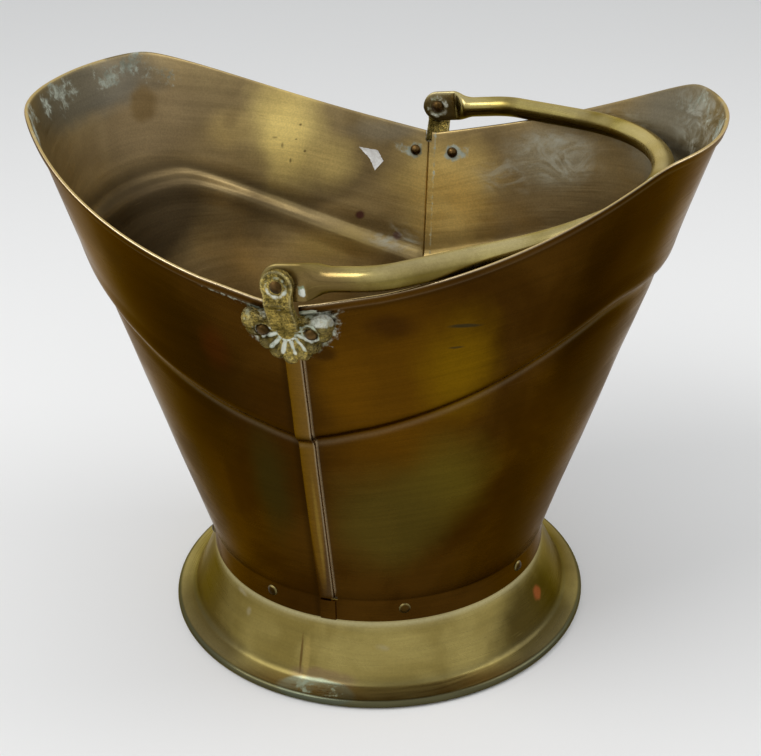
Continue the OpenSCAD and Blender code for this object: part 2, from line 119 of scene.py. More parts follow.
# The surround is white to the eye and in the metal, and gives the room's plain light
world = bpy.data.worlds.new("surround")
scene.world = world
world.use_nodes = True
world.node_tree.nodes.clear()
tree = world.node_tree
rays = add_node(tree, "ShaderNodeLightPath").outputs
seen = math_node("MAXIMUM", rays["Is Camera Ray"], rays["Is Glossy Ray"])
seen = math_node("MAXIMUM", seen, rays["Is Transmission Ray"])
light = add_node(tree, "ShaderNodeBackground", {"Color": (0.96, 0.98, 1), "Strength": 0.66})
white = add_node(tree, "ShaderNodeBackground", {"Color": (0.93, 0.94, 0.95), "Strength": 1})
both = add_node(tree, "ShaderNodeMixShader",
                {0: seen, 1: light.outputs[0], 2: white.outputs[0]})
add_node(tree, "ShaderNodeOutputWorld", {"Surface": both.outputs[0]})


def soft_box(name, location, aim, width, height, watts):
    start_piece()
    bpy.ops.object.light_add(type="AREA", location=location)
    lamp = bpy.context.object
    lamp.name = name
    lamp.data.shape = "RECTANGLE"
    lamp.data.size, lamp.data.size_y = width, height
    lamp.data.energy = watts
    lamp.rotation_euler = (Vector(aim) - lamp.location).to_track_quat("-Z", "Y").to_euler()


soft_box("soft_box_left", (-0.75, -0.65, 1.25), (0, 0, 0.15), 1.0, 0.7, 11.5)
soft_box("soft_box_right", (0.95, 0.35, 0.95), (0, 0, 0.18), 0.6, 0.9, 4.5)


# ---- Finishes shared by the brass pieces ----
# Old sheet brass that was once lacquered: brown tarnish in clouds, fine brushing along the
# sheet, rubbed patches, patches of painted highlight, shade and reflection, and a pale green
# crust where damp sat in seams and round rivets.

def new_group(name, places, numbers, gives):
    """A node group that takes places and numbers and gives numbers; also its inputs."""
    group = bpy.data.node_groups.new(name, "ShaderNodeTree")
    for labels, way, kind in ((places, "INPUT", "Vector"), (numbers, "INPUT", "Float"),
                              (gives, "OUTPUT", "Float")):
        for label in labels:
            group.interface.new_socket(label, in_out=way, socket_type="NodeSocket" + kind)
    return group, group.nodes.new("NodeGroupInput").outputs


def times(a, b):
    return math_node("MULTIPLY", a, b)


def plus(a, b):
    return math_node("ADD", a, b)


def minus(a, b):
    return math_node("SUBTRACT", a, b)


def vector_math(operation, a, b=(0, 0, 0)):
    slot, out = {"SCALE": ("Scale", 0), "LENGTH": (1, 1)}.get(operation, (1, 0))
    return add_node(a.id_data, "ShaderNodeVectorMath", {0: a, slot: b},
                    operation=operation).outputs[out]


def remap(value, low, high, to_low=0.0, to_high=1.0):
    """Value from low..high to to_low..to_high, eased at both ends."""
    return add_node(value.id_data, "ShaderNodeMapRange",
                    {"Value": value, "From Min": low, "From Max": high,
                     "To Min": to_low, "To Max": to_high},
                    interpolation_type="SMOOTHSTEP").outputs["Result"]


def blend(share, below, above):
    return add_node(share.id_data, "ShaderNodeMix", {0: share, 6: below, 7: above},
                    data_type="RGBA").outputs[2]


def noise_at(place, scale, detail=2.0, roughness=0.5, warp=0.0, out="Fac"):
    return add_node(place.id_data, "ShaderNodeTexNoise",
                    {"Vector": place, "Scale": scale, "Detail": detail,
                     "Roughness": roughness, "Distortion": warp}).outputs[out]


def stretched(place, scale, turn=0.0):
    return add_node(place.id_data, "ShaderNodeMapping",
                    {"Vector": place, "Rotation": (0, 0, turn), "Scale": scale}).outputs[0]


def relief(height, strength, depth):
    """A bump in the surface, its depth in mm."""
    return add_node(height.id_data, "ShaderNodeBump",
                    {"Height": height, "Strength": strength, "Distance": depth * mm}).outputs[0]


# A rubbed or stained patch: 1 in the middle, falling to 0 at its ragged outline
stain, feed = new_group("stain", ("Point", "Centre", "Size"), ("Ragged", "Core"), ("Mask",))
wobble = noise_at(feed["Point"], 45.0, 3.0, 0.6, out="Color")
wobble = vector_math("SUBTRACT", wobble, (0.5, 0.5, 0.5))
spot = vector_math("ADD", feed["Point"], vector_math("SCALE", wobble, feed["Ragged"]))
spot = vector_math("DIVIDE", vector_math("SUBTRACT", spot, feed["Centre"]), feed["Size"])
add_node(stain, "NodeGroupOutput",
         {"Mask": remap(vector_math("LENGTH", spot), 1.0, feed["Core"])})

# Brushing: fine lines along the sheet and broader sweeps, from the sheet's own map
brushing, feed = new_group("brushing", ("Point", "Along"), (),
                           ("Line", "Sweep", "Scratch", "Height"))
drift = times(noise_at(feed["Point"], 14.0, 1.0), 0.008)
drift = add_node(brushing, "ShaderNodeCombineXYZ", {"Y": drift}).outputs[0]
along = vector_math("ADD", feed["Along"], drift)
line = noise_at(stretched(along, (22, 1500, 1)), 1.0, 3.0, 0.6)
sweep = noise_at(stretched(along, (14, 330, 1)), 1.0, 3.0, 0.6)
scratch = remap(noise_at(stretched(feed["Along"], (30, 1500, 1), 0.5), 1.0), 0.66, 0.74)
scratch = times(scratch, remap(noise_at(feed["Point"], 38.0), 0.5, 0.62))
add_node(brushing, "NodeGroupOutput", {"Line": line, "Sweep": sweep, "Scratch": scratch,
                                       "Height": minus(times(line, 0.5), scratch)})

# Tarnish in clouds, and flecks in it
tarnish, feed = new_group("tarnish", ("Point",), ("Scale",), ("Cloud", "Fleck"))
wide = noise_at(feed["Point"], feed["Scale"], 3.0, 0.55, 0.6)
fleck = noise_at(feed["Point"], 900.0, 4.0, 0.7)
add_node(tarnish, "NodeGroupOutput",
         {"Cloud": remap(wide, 0.34, 0.66), "Fleck": remap(fleck, 0.3, 0.7)})

# Crust: broken into crumbs and streaks, thickest and palest where the piece says so
crusting, feed = new_group("crust", ("Point",), ("Where",), ("Mask", "Tone", "Height"))
crumbs = noise_at(feed["Point"], 330.0, 5.0, 0.65, 0.4)
broad = noise_at(feed["Point"], 90.0, 3.0, 0.6)
bare = minus(0.86, times(feed["Where"], 0.5))
mask = remap(minus(plus(times(crumbs, 0.6), times(broad, 0.4)), bare), 0.0, 0.22)
thick = math_node("MAXIMUM", minus(feed["Where"], 1.4))
add_node(crusting, "NodeGroupOutput",
         {"Mask": mask, "Tone": remap(plus(broad, thick), 0.35, 0.65),
          "Height": times(mask, crumbs)})


def place_group(group, point, **wired):
    return add_node(point.id_data, "ShaderNodeGroup", {"Point": point, **wired},
                    node_tree=group).outputs


def stained(point, centre, size, strength, ragged, core):
    """A patch's mask, from its measures in mm."""
    mask = place_group(stain, point, Centre=[c * mm for c in centre],
                       Size=[s * mm for s in size], Ragged=ragged * mm, Core=core)["Mask"]
    return times(mask, strength)


def share_of(tree, mark):
    return add_node(tree, "ShaderNodeAttribute", attribute_name=mark).outputs["Fac"]


def brass(name, dark, light, roughness, cloud_scale, wear_and_highlight_tone, crust_tones, patches=(),
          smears=(), line_share=0.05, sweep_share=0.05, scratch_share=0.15, fleck_share=0.05,
          grime_and_shade_tone=(0.014, 0.006, 0.001), edge_tone=(0.7, 0.6, 0.4), bump=0.15, pits_and_glints=0):
    """Tarnished brass. patches are (centre, size, colour, strength, raggedness, core) and
    smears (centre, size, strength), in mm; the piece's own marks say where it is encrusted,
    where it is rubbed bright or painted with a highlight, and where it is dirty or painted
    with shade."""
    material, tree = new_material(name)
    at = add_node(tree, "ShaderNodeTexCoord").outputs
    point = at["Object"]
    cloud = place_group(tarnish, point, Scale=cloud_scale)
    brush = place_group(brushing, point, Along=at["UV"])
    colour = blend(cloud["Cloud"], dark, light)
    rough = remap(cloud["Cloud"], 0, 1, roughness[1], roughness[0])
    for centre, size, tone, *spread in patches:
        colour = blend(stained(point, centre, size, *spread), colour, tone)
    shade = remap(brush["Sweep"], 0.3, 0.7, 1 - sweep_share, 1 + sweep_share)
    fine = remap(brush["Line"], 0.3, 0.7, 1 - line_share, 1 + line_share)
    spots = remap(cloud["Fleck"], 0, 1, 1 - fleck_share, 1 + fleck_share)
    shade = times(times(shade, fine), spots)
    # the pits also speckle the colour lighter and darker: painted glints on the cast skin
    if pits_and_glints:
        pit_and_glint_noise = noise_at(point, 650.0, 4.0, 0.75)
        shade = times(shade, remap(pit_and_glint_noise, 0.36, 0.64, 0.4, 1.6))
    colour = vector_math("SCALE", colour, shade)
    rough = plus(rough, remap(brush["Line"], 0.2, 0.8, -0.05, 0.07))
    scratch = times(brush["Scratch"], scratch_share)
    colour = blend(scratch, colour, [min(1, 1.8 * c + 0.03) for c in light])
    # rubbed metal and painted highlights lighten the colour; dirt and painted shade darken it
    wear_and_highlight = times(share_of(tree, "wear_and_highlight"), remap(cloud["Fleck"], 0, 1, 0.8, 1))
    colour = blend(wear_and_highlight, colour, wear_and_highlight_tone)
    colour = blend(share_of(tree, "grime_and_shade"), colour, grime_and_shade_tone)
    film = None
    for smear in smears:
        mask = stained(point, *smear, 20, 0.3)
        film = math_node("MAXIMUM", film, mask) if film else mask
    if film:
        wiped = noise_at(stretched(point, (1, 1, 1.7)), 42.0, 5.0, 0.62, 2.2)
        film = times(film, remap(wiped, 0.38, 0.7))
        colour = blend(film, colour, (0.38, 0.38, 0.31))
    crust = place_group(crusting, point, Where=share_of(tree, "crust"))
    colour = blend(crust["Mask"], colour, blend(crust["Tone"], *crust_tones))
    rough = add_node(tree, "ShaderNodeMix", {0: crust["Mask"], 2: rough, 3: 0.85}).outputs[0]
    metal = remap(crust["Mask"], 0, 1, 1.0, 0.1)
    if film:
        rough = plus(rough, times(film, 0.25))
        metal = times(metal, remap(film, 0, 1, 1.0, 0.35))
    height = plus(times(brush["Height"], 0.1), times(crust["Height"], 0.8))
    if pits_and_glints:
        height = plus(height, times(pit_and_glint_noise, pits_and_glints))
    end_material(tree, {"Base Color": colour, "Roughness": rough, "Metallic": metal,
                        "Specular Tint": edge_tone, "Normal": relief(height, bump, 0.4)})
    return material


# ---- Foot ----
# The foot is one flared ring of sheet brass, its edge rolled under round a wire and its
# ends brazed along a lap. The neck stands inside the body's collar and is riveted there.

SHEET = 0.7 * mm


def rounded(corners, radius, steps=5):
    """The open path with each corner rounded off."""
    points = [Vector(c) for c in corners]
    path = [points[0]]
    for before, corner, after in zip(points, points[1:], points[2:]):
        cut = min(radius, 0.45 * (before - corner).length, 0.45 * (after - corner).length)
        start = corner + (before - corner).normalized() * cut
        end = corner + (after - corner).normalized() * cut
        for i in range(steps + 1):
            t = i / steps
            path.append((1 - t) ** 2 * start + 2 * t * (1 - t) * corner + t * t * end)
    return path + [points[-1]]


def cut_away(piece, kind, picked):
    """Deletes the edges or faces of the piece that picked is true for."""
    bpy.ops.object.mode_set(mode="EDIT")
    bpy.ops.mesh.select_mode(type=kind)
    bpy.ops.mesh.select_all(action="DESELECT")
    bpy.ops.object.mode_set(mode="OBJECT")
    for part in piece.data.edges if kind == "EDGE" else piece.data.polygons:
        part.select = picked(part)
    bpy.ops.object.mode_set(mode="EDIT")
    bpy.ops.mesh.delete(type=kind)
    bpy.ops.object.mode_set(mode="OBJECT")


def weld(gap):
    """Joins the active piece's points within gap mm and turns its faces outwards."""
    bpy.ops.object.mode_set(mode="EDIT")
    bpy.ops.mesh.select_all(action="SELECT")
    bpy.ops.mesh.remove_doubles(threshold=gap * mm)
    bpy.ops.mesh.normals_make_consistent(inside=False)
    bpy.ops.object.mode_set(mode="OBJECT")


def spun(name, path, steps):
    """A sheet spun from a profile of (radius, height) in mm, before it has its thickness."""
    start_piece()
    bpy.ops.mesh.primitive_circle_add(vertices=len(path), radius=1)
    piece = bpy.context.object
    piece.name = name
    cut_away(piece, "EDGE", lambda edge: abs(edge.vertices[0] - edge.vertices[1]) > 1)
    for vertex, (radius, height) in zip(piece.data.vertices, path):
        vertex.co = (radius * mm, 0, height * mm)
    bpy.ops.object.mode_set(mode="EDIT")
    bpy.ops.mesh.select_all(action="SELECT")
    bpy.ops.mesh.spin(steps=steps, angle=2 * pi, center=(0, 0, 0), axis=(0, 0, 1))
    weld(0.01)
    return piece


def thicken(piece, thickness):
    bpy.context.view_layer.objects.active = piece
    gauge = piece.modifiers.new("Gauge", "SOLIDIFY")
    gauge.thickness, gauge.offset, gauge.use_even_offset = thickness, 0, True
    bpy.ops.object.modifier_apply(modifier=gauge.name)


def smooth(piece, angle=38):
    start_piece()
    piece.select_set(True)
    bpy.context.view_layer.objects.active = piece
    bpy.ops.object.shade_smooth_by_angle(angle=radians(angle))


def map_round(piece, up):
    """Lays the piece's map: x runs round the Z axis, y up the sheet, both in metres."""
    layer = piece.data.uv_layers.active or piece.data.uv_layers.new(name="sheet")
    for face in piece.data.polygons:
        middle = face.center.xy
        for corner in face.loop_indices:
            at = piece.data.vertices[piece.data.loops[corner].vertex_index].co
            turn = middle.angle_signed(at.xy, 0) + Vector((0, -1)).angle_signed(middle, 0)
            layer.data[corner].uv = (turn / (2 * pi) * 0.7, up(at))


def set_marks(piece, shares):
    """Gives each point its shares of crust, of rubbed metal and painted highlight, and of dirt and
    painted shade.
    """
    for name, values in zip(("crust", "wear_and_highlight", "grime_and_shade"), zip(*shares)):
        piece.data.attributes.new(name, "FLOAT", "POINT").data.foreach_set("value", values)


def clamp(share):
    return min(1, max(0, share))


def bell(distance, reach):
    return exp(-(distance / reach) ** 2)


def plateau(distance, reach):
    return exp(-(distance / reach) ** 4)


roll_radius = 1.92
roll_centre = Vector((112.7, 2.27))
foot_neck, foot_height, neck_top = 90.25, 36.9, 48.3
foot_path = rounded([(foot_neck, neck_top), (foot_neck, foot_height - 0.2), (103.5, 8.42),
                     (105.3, 6.75), (112.0, 4.3)], 1.6)[:-1]
foot_path = [before.lerp(after, i / 12) for before, after in zip(foot_path, foot_path[1:])
             for i in range(12 if (after - before).length > 2 else 1)] + foot_path[-1:]
for i in range(29):
    a = radians(98 - 298 * i / 28)
    foot_path.append(roll_centre + roll_radius * Vector((cos(a), sin(a))))

foot = spun("foot", foot_path, 192)

# The ends of the strip lap under the seam: one stands about half a sheet's thickness proud
lap_turn = radians(-96.4)
lap = Vector((cos(lap_turn), sin(lap_turn)))
for vertex in foot.data.vertices:
    radius = hypot(vertex.co.x, vertex.co.y)
    turn = lap.angle_signed(vertex.co.xy, 0) * radius / mm
    if 91.5 * mm < radius < 111 * mm and vertex.co.z > 5 * mm:
        proud = 0.35 * bell(turn, 8) if turn < 0 else 0
        vertex.co.x *= 1 + proud * mm / radius * 0.9
        vertex.co.y *= 1 + proud * mm / radius * 0.9
thicken(foot, SHEET)


def foot_marks(at):
    radius = hypot(at.x, at.y)
    solder = plateau(at.x + 1.5, 21) * plateau(radius - 109.5, 4.2) if at.y < 0 else 0
    crust = max(0.5 * bell(radius - 110.4, 1.3), 0.3 * bell(radius - 104.6, 1.4), solder,
                0.3 * bell(at.z - foot_height + 1.2, 1))
    # painted highlights: a thin light line along the top of the rolled edge and a brighter band
    # round the shoulder under the collar
    wear_and_highlight = max(0.15 * bell(radius - 112.4, 0.8) if at.z > 3.6 else 0,
               0.8 * bell(radius - 91.4, 0.6) if at.z < foot_height else 0)
    # painted shade in the groove inside the roll and along the step of the flare; the roll's outer
    # band is darker, grey-green
    grime_and_shade = max(0.85 * clamp(radius - 112.6), 0.35 * bell(radius - 105, 1.6),
                0.5 * bell(radius - 110.6, 0.9))
    return crust, wear_and_highlight, grime_and_shade


set_marks(foot, [foot_marks(v.co / mm) for v in foot.data.vertices])
map_round(foot, lambda at: at.z + hypot(at.x, at.y))
smooth(foot)

foot_brass = brass(
    "foot_brass", dark=(0.19, 0.143, 0.038), light=(0.3, 0.236, 0.074),
    roughness=(0.28, 0.38), cloud_scale=22,
    wear_and_highlight_tone=(0.45, 0.4, 0.22), grime_and_shade_tone=(0.055, 0.058, 0.036),
    crust_tones=((0.13, 0.15, 0.105), (0.27, 0.31, 0.22)),
    patches=[
        ((-86, -60, 20), (52, 54, 36), (0.085, 0.058, 0.016), 0.9, 14, 0.3),  # duller left
        ((-68, -84, 6), (36, 30, 9), (0.09, 0.062, 0.018), 0.85, 10, 0.4),
        ((100, -34, 16), (34, 60, 34), (0.05, 0.033, 0.007), 0.92, 14, 0.4),  # browner right
        ((96, 50, 20), (40, 60, 34), (0.08, 0.05, 0.014), 0.8, 14, 0.3),
        ((-70, 80, 20), (50, 40, 34), (0.11, 0.075, 0.022), 0.7, 14, 0.2),
        ((0, -104.5, 9), (24, 7, 6), (0.2, 0.125, 0.07), 0.55, 7, 0.5),       # copper blush
        ((-1.5, -110, 4), (23, 8.5, 7), (0.24, 0.265, 0.18), 0.97, 6, 0.8),   # lead solder
        ((-12.5, -100, 18), (1.0, 12, 14), (0.1, 0.055, 0.015), 0.8, 2, 0.4),  # brazed lap
        ((-9.5, -101, 17), (2.6, 14, 15), (0.33, 0.24, 0.07), 0.5, 3, 0.4),
        ((95, -22, 22), (5.5, 6, 5), (0.3, 0.085, 0.03), 0.9, 8, 0.4),        # red spot
        ((98.5, -32, 17), (1.6, 3, 5), (0.45, 0.38, 0.27), 0.8, 5, 0.4),
        ((96, -36, 20), (4, 5, 1.2), (0.45, 0.38, 0.27), 0.7, 4, 0.3),
        ((-54, -76, 33), (8, 5, 1.4), (0.34, 0.3, 0.2), 0.45, 6, 0.2),        # scratches
        ((-47, -82, 26), (2.4, 4, 3.4), (0.34, 0.3, 0.2), 0.4, 5, 0.2),
        ((30, -94, 25), (6, 4, 3), (0.36, 0.33, 0.24), 0.5, 6, 0.2),
    ])
foot.data.materials.append(foot_brass)
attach(foot, "scuttle")
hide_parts("foot_ring")


# ---- Wire in the foot's edge ----
# A ring of steel wire is rolled into the foot's edge to stiffen it. Only the roll's open
# underside shows it, brown with rust.

edge_wire, tree = new_material("edge_wire")
point = add_node(tree, "ShaderNodeTexCoord").outputs["Object"]
rust = remap(noise_at(point, 300.0, 4.0, 0.65), 0.4, 0.6)
end_material(tree, {"Base Color": blend(rust, (0.2, 0.19, 0.18), (0.13, 0.05, 0.02)),
                    "Roughness": remap(rust, 0, 1, 0.4, 0.85),
                    "Metallic": remap(rust, 0, 1, 1.0, 0.2)})


def dress(node, material):
    """Gives a solid of the frame its finish."""
    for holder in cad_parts[node].material_slots:
        holder.material = material


dress("foot_wire", edge_wire)


# ---- Pan ----
# The scuttle's floor is a shallow pan of sheet brass that stands on its own turned-up wall
# inside the collar. Coal has scraped it, and its corner holds soot.

pan_brass, tree = new_material("pan_brass")
point = add_node(tree, "ShaderNodeTexCoord").outputs["Object"]
cloud = place_group(tarnish, point, Scale=22.0)
radial = vector_math("LENGTH", vector_math("MULTIPLY", point, (1, 1, 0)))
soot = times(remap(radial, 0.062, 0.088), remap(cloud["Fleck"], 0, 1, 0.55, 1))
scrapes = remap(noise_at(stretched(point, (50, 420, 60)), 1.0, 5.0, 0.6, 2.5), 0.56, 0.72)
colour = blend(cloud["Cloud"], (0.09, 0.055, 0.018), (0.2, 0.145, 0.06))
colour = blend(times(scrapes, 0.45), colour, (0.42, 0.34, 0.18))
colour = blend(soot, colour, (0.018, 0.015, 0.013))
end_material(tree, {"Base Color": colour, "Roughness": remap(soot, 0, 1, 0.42, 0.9),
                    "Metallic": remap(soot, 0, 1, 1.0, 0.15),
                    "Normal": relief(cloud["Fleck"], 0.2, 0.3)})
dress("base_pan", pan_brass)


# ---- Body shells ----
# Two equal shells of sheet brass, hemmed along the rim and swaged with a ridge below it.
# Locked seams join them and end in plain laps at the collar. The outside is painted dark,
# for its tarnish and for the dark surroundings it reflects; the inside is dull and streaked.

collar_r, collar_top = 91.05, 49.3
lip_reach, waist_reach, mouth_power = 168.5, 127.5, 2.2
lip_z, saddle_z, lip_flat, rim_straight, lip_round = 281.3, 225.8, 150, 0.52, 3
ridge_drop, ridge_lift = 72.5, 6
hem_width, hem_pitch = 3.8, 1.2
pitch, fold_x, riser_x, hook_end = 0.8, 3.15, 3.95, 2.3   # the seam's folds, from its middle
inner_x, cover_x = 1.67, riser_x + 1.48                   # where each edge leaves the wall
rim_rise = 0.33                                           # the rim's mean slope along X


def lerp(a, b, share):
    return a + (b - a) * share


def power(value, exponent):
    return copysign(abs(value) ** exponent, value)


def rim_z(angle):
    way = lip_reach * abs(cos(angle)) ** (2 / mouth_power) / lip_flat
    climb = rim_straight * way + (1 - rim_straight) * way ** 2.5
    rest = (lip_z - saddle_z) * (1 - climb)
    return lip_z - (rest + sqrt(rest * rest + lip_round * lip_round)) / 2


def ridge_z(angle):
    return rim_z(angle) - ridge_drop + ridge_lift * cos(angle) ** 2


def wall_point(angle, z, out):
    """On the sheet's middle at a generator and a height in mm, moved outwards by out."""
    share = max(0, (z - collar_top) / (rim_z(angle) - collar_top))
    a, b = lerp(collar_r, lip_reach, share), lerp(collar_r, waist_reach, share)
    e = 2 / lerp(2, mouth_power, share)
    c, s = cos(angle), sin(angle)
    way = Vector((b * power(c, 2 - e), a * power(s, 2 - e))).normalized()
    return Vector((a * power(c, e) + out * way.x, b * power(s, e) + out * way.y, z))


def ridge_out(off, below, above):
    """How far the swaged wall stands out at a height off the ridge, eased to flat walls."""
    span = above if off > 0 else below
    knots = [(0, 0), (1.6, 1.12), (4.2, 1.54), (16, 1.0), (span, 0)]
    reach = min(abs(off), span)
    for (x0, y0), (x1, y1) in zip(knots, knots[1:]):
        if reach <= x1:
            t = (reach - x0) / (x1 - x0)
            if x0 > 0:
                t = t if x1 == span else t * t * (3 - 2 * t)
            return copysign(lerp(y0, y1, t), off)
    return 0


FLOOR, RIDGE, RIM = 0, 1, 2
LOCK_FROM, LOCK_TO = (FLOOR, collar_top + 2), (RIM, -hem_width - 1.5)
marks = [((FLOOR, foot_height), 1), ((FLOOR, collar_top - 1), 5), ((FLOOR, collar_top + 2), 3),
         ((RIDGE, -17), 22), ((RIDGE, 17), 40), (LOCK_TO, 28), ((RIM, -0.95), 5)]
rows = []
for (before, _), (after, count) in zip(marks, marks[1:]):
    rows += [(before, after, i / count, 0) for i in range(count)]
lap_rows, lock_first, lock_last = (sum(count for _, count in marks[1:k]) for k in (2, 3, 6))
for i in range(9):
    a = pi - pi * i / 8
    top = (RIM, -0.95 + 0.6 * sin(a))
    rows.append((top, top, 0, 0.6 + 0.6 * cos(a)))
rows += [((RIM, dz), (RIM, dz), 0, hem_pitch) for dz in (-1.8, -2.8, -hem_width)]


def mark_z(mark, angle):
    base, dz = mark
    return dz + (0 if base == FLOOR else ridge_z(angle) if base == RIDGE else rim_z(angle))


def row_at(row, angle):
    """Height and outward step of a row of the sheet at a generator."""
    before, after, share, out = row
    z = lerp(mark_z(before, angle), mark_z(after, angle), share)
    low, high = mark_z(LOCK_FROM, angle), mark_z(LOCK_TO, angle)
    if low < z < high:
        ridge = ridge_z(angle)
        out += ridge_out(z - ridge, ridge - low, high - ridge)
    return z, out


def seam_angle(side, along, z):
    share = max(0, (z - collar_top) / (saddle_z - collar_top))
    c = power(along / lerp(collar_r, lip_reach, share), lerp(2, mouth_power, share) / 2)
    return -acos(c) if side < 0 else acos(-c)


bend = 0.55
cover_path = rounded([(hook_end, pitch), (-fold_x, pitch), (-fold_x, 3 * pitch),
                      (riser_x, 3 * pitch), (riser_x, 0), (cover_x, 0)], bend, 4)
inner_path = rounded([(inner_x, 0), (fold_x, 0), (fold_x, 2 * pitch),
                      (-hook_end, 2 * pitch)], bend, 4)
columns = ([("cover", p) for p in cover_path[:-1]]
           + [("near", x) for x in (cover_x, 8, 11.5, 15)]
           + [("wall", radians(-78 + 156 * i / 118)) for i in range(119)]
           + [("far", x) for x in (-15, -11.5, -8, -5, -2.5, -0.5, inner_x)]
           + [("inner", p) for p in inner_path[1:]])
first_wall = len(cover_path) - 1
last_wall = len(columns) - len(inner_path)
scrap_middle = Vector((-36, 120, 210))


def dents(at):
    """Old knocks and waves in the sheet, left out where it is stiff or meets a piece."""
    quiet = clamp((at.z - 54) / 30) * clamp((abs(at.x) - 8) / 30)
    quiet *= 1 - plateau((at - scrap_middle).length, 20)
    wave = noise.noise(at / 46) * 0.55 + noise.noise(at / 19 + Vector((7, 3, 1))) * 0.16
    return quiet * wave


def on_lap(kind, i):
    """A fold's column on the plain lap at the collar: its x and its step outwards."""
    if kind == "inner":
        return lerp(inner_x, fold_x, (i - last_wall) / (len(columns) - 1 - last_wall)), 0
    step = first_wall - 3
    if i < step:
        return lerp(-3.5, riser_x + 0.5, i / step), pitch
    return lerp(riser_x + 0.6, riser_x + 1.3, (i - step) / 3), 0


def shell_place(i, k):
    """The point of the sheet's column i and row k, for the shell on +X."""
    kind, at = columns[i]
    row = rows[k]
    if kind == "wall":
        return wall_point(at, *row_at(row, at))
    side = -1 if kind in ("near", "cover") else 1
    z, out = row_at(row, pi / 2)
    if kind in ("near", "far"):
        angle = seam_angle(side, at, z)
        return wall_point(angle, *row_at(row, angle))
    along, lift = on_lap(kind, i) if k <= lap_rows else at
    return wall_point(seam_angle(side, along, z), z, out + lift)


def laid_sheet(name, width, length, place):
    """A grid of sheet cells laid point by point: place gives the point of column i, row k."""
    start_piece()
    bpy.ops.mesh.primitive_grid_add(x_subdivisions=width - 1, y_subdivisions=length - 1, size=1)
    piece = bpy.context.object
    piece.name = name
    for vertex in piece.data.vertices:
        i = round((vertex.co.x + 0.5) * (width - 1))
        k = round((vertex.co.y + 0.5) * (length - 1))
        vertex.co = place(i, k)
    return piece


def make_shell(name, turn):
    """A shell turned about Z, and how many of its points lie on the outer face."""
    spin = Matrix.Rotation(turn, 3, "Z")
    width = len(columns)
    piece = laid_sheet(name, width, len(rows), lambda i, k: spin @ shell_place(i, k) * mm)
    mesh = piece.data

    # the map's x runs round the body, its y up the sheet from collar to rim
    layer = mesh.uv_layers.active
    for face in mesh.polygons:
        for corner in face.loop_indices:
            at = mesh.vertices[mesh.loops[corner].vertex_index].co
            around = degrees(Vector((1, 0)).angle_signed(at.xy, 0)) / 180
            share = (at.z / mm - collar_top) / (saddle_z + abs(at.x) / mm * rim_rise - collar_top)
            layer.data[corner].uv = (around * 0.4 + turn, share * 0.19)

    def unfolded(face):
        """The folds at the seams are there only on the lap and on the locked stretch."""
        i, k = min(v % width for v in face.vertices), min(v // width for v in face.vertices)
        in_seam = k < lap_rows or lock_first <= k < lock_last
        return not (first_wall <= i < last_wall or in_seam)

    cut_away(piece, "FACE", unfolded)
    if sum(copysign(1, f.normal.xy.dot(f.center.xy)) for f in mesh.polygons) < 0:
        bpy.ops.object.mode_set(mode="EDIT")
        bpy.ops.mesh.select_all(action="SELECT")
        bpy.ops.mesh.flip_normals()
        bpy.ops.object.mode_set(mode="OBJECT")

    # knocks, quiet at the rim so that the hem keeps its line
    for vertex in mesh.vertices:
        at = vertex.co / mm
        below = saddle_z + abs(at.x) * rim_rise - at.z
        give = dents(at) * clamp((below - 6) / 25)
        vertex.co += Vector((at.x, at.y, 0)).normalized() * give * mm
    outer_points = len(mesh.vertices)
    thicken(piece, SHEET)
    return piece, outer_points


def levels(at):
    """How far a point lies below the rim and above the ridge along its own generator."""
    rim = max(at.z, saddle_z)
    for _ in range(4):
        share = clamp((at.z - collar_top) / (rim - collar_top))
        across = min(1, abs(at.x) / lerp(collar_r, lip_reach, share))
        angle = acos(across ** (lerp(2, mouth_power, share) / 2))
        rim = rim_z(angle)
    return rim - at.z, at.z - ridge_z(angle)


ear_rivet_x, ear_z = 11, 215.5
ear_rivets = [Vector((x, y, ear_z)) for x in (-ear_rivet_x, ear_rivet_x) for y in (-124, 124)]


